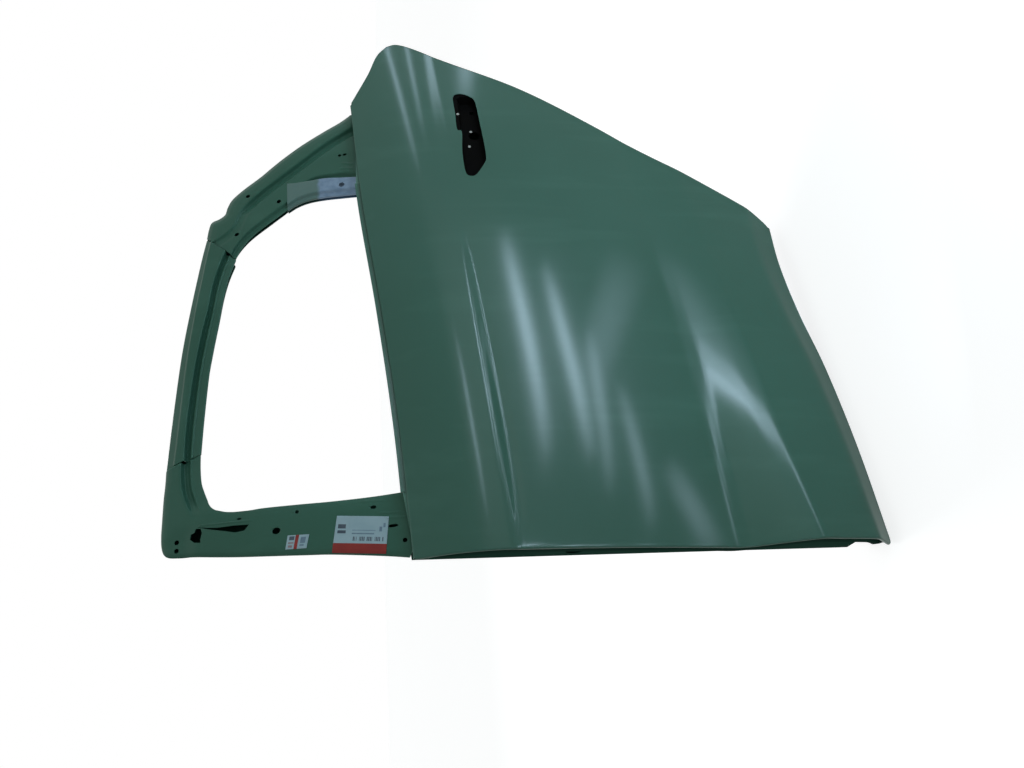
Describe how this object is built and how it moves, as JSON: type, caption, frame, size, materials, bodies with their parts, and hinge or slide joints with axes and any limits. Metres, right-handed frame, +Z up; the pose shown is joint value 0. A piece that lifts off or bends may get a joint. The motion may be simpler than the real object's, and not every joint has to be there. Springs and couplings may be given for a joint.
{
  "type": "car door shell",
  "caption": "Bare rear side door shell of a passenger car: hemmed outer skin, deep inner panel and welded window frame.",
  "frame": {"origin": "centre of the outer face of the front wall where the upper hinge bolts on", "axes": "+X towards the rear of the car, +Y into the cabin, +Z up"},
  "size_m": [1.1062, 0.2351, 1.1291],
  "materials": {
    "green_electrocoat": "satin green electrocoat primer, even and slightly glossy",
    "inner_electrocoat": "satin green electrocoat primer, thinner and darker inside",
    "zinc_plate": "bluish bare zinc coating under a thin primer",
    "black_coating": "matt black coating",
    "grey_mastic": "matt cured mastic",
    "printed_label": "matt printed paper"
  },
  "bodies": {
    "root": {"outer_skin": "green_electrocoat", "inner_panel": "inner_electrocoat", "front_frame_panel": "green_electrocoat", "front_frame_inner": "green_electrocoat", "front_sash_channel": "green_electrocoat", "header_channel": "green_electrocoat", "rear_frame_panel": "green_electrocoat", "rear_frame_inner": "green_electrocoat", "rear_corner_channel": "green_electrocoat", "division_channel": "zinc_plate", "outer_belt_reinforcement": "green_electrocoat", "inner_belt_reinforcement": "inner_electrocoat", "impact_beam": "inner_electrocoat", "beam_front_bracket": "inner_electrocoat", "beam_rear_bracket": "inner_electrocoat", "anti_flutter_pad_1": "grey_mastic", "anti_flutter_pad_2": "grey_mastic", "anti_flutter_pad_3": "grey_mastic", "upper_hinge_reinforcement": "inner_electrocoat", "lower_hinge_reinforcement": "inner_electrocoat", "upper_hinge_weld_nut_1": "inner_electrocoat", "upper_hinge_weld_nut_2": "inner_electrocoat", "lower_hinge_weld_nut_1": "inner_electrocoat", "lower_hinge_weld_nut_2": "inner_electrocoat", "check_strap_reinforcement": "inner_electrocoat", "latch_reinforcement": "inner_electrocoat", "handle_bracket": "black_coating", "front_run_bracket": "inner_electrocoat", "rear_run_bracket": "inner_electrocoat"}
  },
  "joints": []
}
